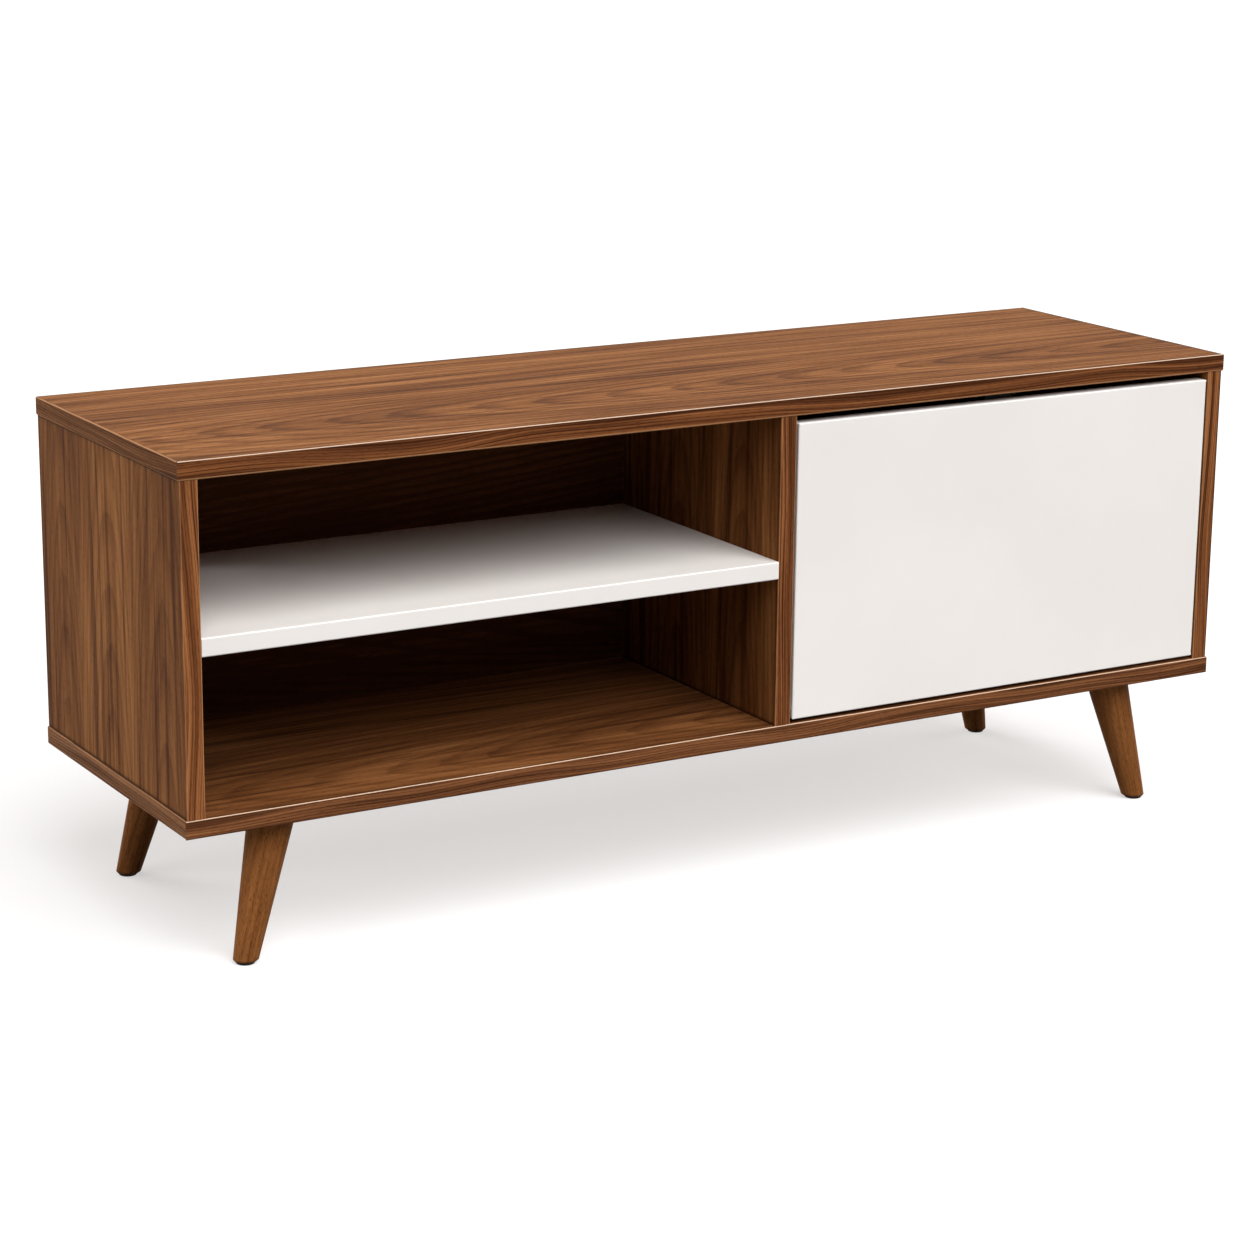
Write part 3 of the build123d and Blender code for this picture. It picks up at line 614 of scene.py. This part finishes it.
def addPiece(name, solid, material, body, replaced):
    mesh = bpy.data.meshes.new(name)
    mesh.from_pydata(solid[0].tolist(), [], solid[1])
    mesh.polygons.foreach_set("use_smooth", np.ones(len(mesh.polygons), bool))
    mesh.set_sharp_from_angle(angle=sharpAngle)
    mesh.materials.append(material)
    piece = bpy.data.objects.new(name, mesh)
    bpy.context.scene.collection.objects.link(piece)
    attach(piece, body)
    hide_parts(replaced)
    return piece


def turnTo(direction):  # matrix whose third column is the direction
    direction = np.asarray(direction, float)
    helper = np.eye(3)[np.argmin(np.abs(direction))]
    across = np.cross(helper, direction)
    across /= np.linalg.norm(across)
    return np.stack([across, np.cross(direction, across), direction], 1)


# Legs: tapered rods about leaning axes, every ring level, with a small chamfer at the foot
legShape = {
    "topDiameter": 0.044, "footDiameter": 0.0235, "chamfer": 0.0020, "around": 128, "rings": 48,
    "apart": 0.1,  # metres between the solids of two legs, at least
    "grainStart": (0.0, 0.011, 0.0), "grainStep": (0.03, 0.02, 0.3),  # place in the wood, and from leg to leg
}
legRows = {"front_legs": -1, "back_legs": 1}  # side of the cabinet along Y
glideShape = {"round": 0.0008, "around": 64, "rings": 8}


def legRings(glide, plate, seat, shape):
    # point(turn, z) = foot + axis * climb + radius(climb) * (cos, sin), climb solved so that a ring is level
    low = np.array([*(glide[0] + glide[1])[:2] / 2, glide[1][2]])
    high = np.array([*(plate[0] + plate[1])[:2] / 2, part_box("bottom_panel")[0].z])
    axis = (high - low) / np.linalg.norm(high - low)
    foot = low - axis * low[2] / axis[2]
    side = np.cross(axis, (1, 0, 0))
    side /= np.linalg.norm(side)
    front = np.cross(side, axis)
    turn = fullTurn(shape["around"])
    levels = np.concatenate([[low[2]], np.linspace(low[2] + shape["chamfer"], seat, shape["rings"])])
    spoke = np.cos(turn)[:, None] * front + np.sin(turn)[:, None] * side
    thick = shape["footDiameter"] / 2
    slope = (shape["topDiameter"] / 2 - thick) / seat
    climb = (levels[:, None] - thick * spoke[:, 2]) / (axis[2] + slope * spoke[:, 2])
    rings = foot + climb[..., None] * axis + (thick + slope * climb)[..., None] * spoke
    inward = rings[0] - (foot + levels[0] / axis[2] * axis)
    rings[0] -= inward * shape["chamfer"] / np.linalg.norm(inward, axis=-1, keepdims=True)
    return rings, foot, np.stack([front, side, axis], 1)


def addLegs(glides, shape):
    plates = islandBoxes("leg_plates", shape["apart"])  # in the same order as the glides
    grainStart, grainStep = np.array(shape["grainStart"]), np.array(shape["grainStep"])
    start = (0.0, -legLook["leaf"] / 2)
    for name, end in legRows.items():
        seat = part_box(name)[1].z
        solids, places = [], []
        for order, (glide, plate) in enumerate(zip(glides, plates)):
            if np.sign(glide[0][1]) != end:
                continue
            rings, foot, turned = legRings(glide, plate, seat, shape)
            solid = ringSolid(rings)
            solids.append(solid)
            places.append((solid[0] - foot) @ turned + grainStart + grainStep * order)
        seed = grainSeeds["legs"] + end
        # the legs' feet darkened with painted contact shade
        material = walnut(name, "Z", "X", legLook, start, seed, shadesAndStains=("legFootShade",), attribute="woodPlace")
        piece = addPiece("turned_" + name, joinSolids(solids), material, "carcase", name)
        wood = piece.data.attributes.new("woodPlace", "FLOAT_VECTOR", "POINT")
        wood.data.foreach_set("vector", np.vstack(places).astype(np.float32).ravel())


def addGlides(glides, shape):
    # radius and height round the lower rim = r - round * (1 - sin), round * (1 - cos); then straight up
    solids = []
    for low, high in glides:
        middle, radius = (low + high) / 2, (high - low)[0] / 2
        bend = np.linspace(0, np.pi / 2, shape["rings"])
        radii = np.append(radius - shape["round"] * (1 - np.sin(bend)), radius)
        heights = np.append(low[2] + shape["round"] * (1 - np.cos(bend)), high[2])
        rings = roundRings(radii[:, None], heights[:, None], fullTurn(shape["around"]))
        solids.append(ringSolid(rings + (middle[0], middle[1], 0.0)))
    nylon = moulded["dark_nylon"]
    addPiece("round_leg_glides", joinSolids(solids), nylon, "carcase", "leg_glides")


legGlides = islandBoxes("leg_glides", legShape["apart"])
addLegs(legGlides, legShape)
addGlides(legGlides, glideShape)
print("legs and glides turned")

# Screws: pan heads with a cross recess on threaded shanks
screwShape = {
    "headHeight": 0.002, "headDiameter": 0.0082, "shank": 0.0038, "thread": 0.0004, "pitch": 0.0015,
    "around": 20, "ringsPerTurn": 8, "apart": 0.0165, "recess": 0.0012,
    # shares of the head's radius: grid lines, then the cross, its half width and length with each wall's run
    "lines": (0, 0.1, 0.2, 0.26, 0.45, 0.56, 0.66, 0.8, 0.9, 0.96, 1),
    "crossWidth": (0.26, 0.06), "crossLength": (0.66, 0.1),
}
screwBodies = {  # each set of screws and the body that it rides on
    "leg_plate_screws": "carcase", "stay_stud_screws": "carcase", "catch_screws": "carcase",
    "stay_bracket_screws": "door", "strike_screws": "door",
}


def screwHead(shape):
    # square grid (u, v) bent to a disc; height = (1 - radius^4)^0.5, less a cross-shaped recess
    half = np.array(shape["lines"], float)
    line = np.concatenate([-half[:0:-1], half])
    u, v = np.meshgrid(line, line, indexing="ij")
    x, y = u * np.sqrt(1 - v * v / 2), v * np.sqrt(1 - u * u / 2)
    dome = np.sqrt(np.clip(1 - (x * x + y * y) ** 2, 0, 1))

    def within(distance, limit, wall):  # 1 well inside the limit, falling to 0 over the wall
        return np.clip((limit - abs(distance)) / wall, 0, 1)

    def bar(short, long):
        return within(short, *shape["crossWidth"]) * within(long, *shape["crossLength"])

    height = shape["headHeight"] * dome - shape["recess"] * np.maximum(bar(u, v), bar(v, u))
    points = np.stack([x * shape["headDiameter"] / 2, y * shape["headDiameter"] / 2, height], -1)
    index = np.arange(u.size).reshape(u.shape)
    quads = np.stack([index[:-1, :-1], index[1:, :-1], index[1:, 1:], index[:-1, 1:]], -1).reshape(-1, 4)
    rim = np.concatenate([index[0, :-1], index[:-1, -1], index[-1, :0:-1], index[:0:-1, 0]])
    return points.reshape(-1, 3), quads.tolist() + [rim.tolist()]


def threadedRod(radius, length, shape):
    # radius(turn, z) = core + thread * triangle wave of (z / pitch - turn)
    count = int(length / shape["pitch"] * shape["ringsPerTurn"])
    z = np.linspace(-length, 0, count)[:, None]
    turn = fullTurn(shape["around"])
    wave = 1 - 2 * abs((z / shape["pitch"] - turn / (2 * np.pi)) % 1 - 0.5)
    return ringSolid(roundRings(radius - shape["thread"] + shape["thread"] * wave, z, turn))


def headDirection(node, low, high):
    if node == "stay_stud_screws":  # into the door bay
        bay = sum(corner.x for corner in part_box(node)) / 2
        return np.array([np.sign(bay - (low + high)[0] / 2), 0, 0])
    return np.array((0, 1, 0) if screwBodies[node] == "door" else (0, 0, -1))


def addScrews(shape):
    for node, body in screwBodies.items():
        solids = []
        for low, high in islandBoxes(node, shape["apart"]):
            out = headDirection(node, low, high)
            reach = abs((high - low) @ out)
            seat = (low + high) / 2 + out * (reach / 2 - shape["headHeight"])
            shank = threadedRod(shape["shank"] / 2, reach - shape["headHeight"], shape)
            turned = turnTo(out).T
            solids += [(points @ turned + seat, faces) for points, faces in (screwHead(shape), shank)]
        addPiece("recessed_" + node, joinSolids(solids), steel, body, node)


addScrews(screwShape)
print("screws made:", len(screwBodies), "sets")

# Hidden joinery: fluted beech dowels and the legs' threaded hanger bolts
beechLook = {
    "pale": (0.62, 0.44, 0.28), "dark": (0.48, 0.31, 0.18), "flecks": (700.0, 700.0, 90.0),
    "fleckRise": (0.35, 0.7), "roughness": 0.6, "fleckRough": 0.2, "fleckHeight": 0.00004,
}
dowelShape = {"flutes": 18, "fluteDepth": 0.00025, "chamfer": 0.001, "around": 72, "apart": 0.035}
hangerShape = {"thread": 0.0006, "pitch": 0.00125, "around": 24, "ringsPerTurn": 6, "apart": 0.1}


def beechWood(look):
    material = bpy.data.materials.new("beech")
    place = startTree(material)
    fleck = place.noise(look["flecks"])
    shade = fleck.step(*look["fleckRise"]).mix(colour(look["pale"]), colour(look["dark"]))
    rough = look["roughness"] + (fleck - 0.5) * look["fleckRough"]
    principled(place, {"Base Color": shade, "Roughness": rough}, fleck * look["fleckHeight"])
    return material


def flutedDowel(radius, length, shape):
    # radius(turn) = r - depth * (0.5 + 0.5 cos(flutes * turn))^3, narrowed at both ends by the chamfer
    turn = fullTurn(shape["around"])
    flute = shape["fluteDepth"] * (0.5 + 0.5 * np.cos(shape["flutes"] * turn)) ** 3
    half, chamfer = length / 2, shape["chamfer"]
    z = np.array([-half, -half + chamfer, half - chamfer, half])
    inset = np.array([chamfer, 0, 0, chamfer])
    return ringSolid(roundRings(radius - inset[:, None] - flute, z[:, None], turn))


def addDowels(shape):
    solids = []
    for low, high in islandBoxes("dowels", shape["apart"]):
        size = high - low
        points, faces = flutedDowel(np.sort(size)[1] / 2, size.max(), shape)
        solids.append((points @ turnTo(np.eye(3)[size.argmax()]).T + (low + high) / 2, faces))
    addPiece("fluted_dowels", joinSolids(solids), beechWood(beechLook), "carcase", "dowels")


def addHangerBolts(shape):
    solids = []
    for low, high in islandBoxes("hanger_bolts", shape["apart"]):
        size = high - low
        points, faces = threadedRod(size[0] / 2, size[2], shape)
        solids.append((points + (*(low + high)[:2] / 2, high[2]), faces))
    addPiece("threaded_hanger_bolts", joinSolids(solids), steel, "carcase", "hanger_bolts")


addDowels(dowelShape)
addHangerBolts(hangerShape)
print("joinery made")
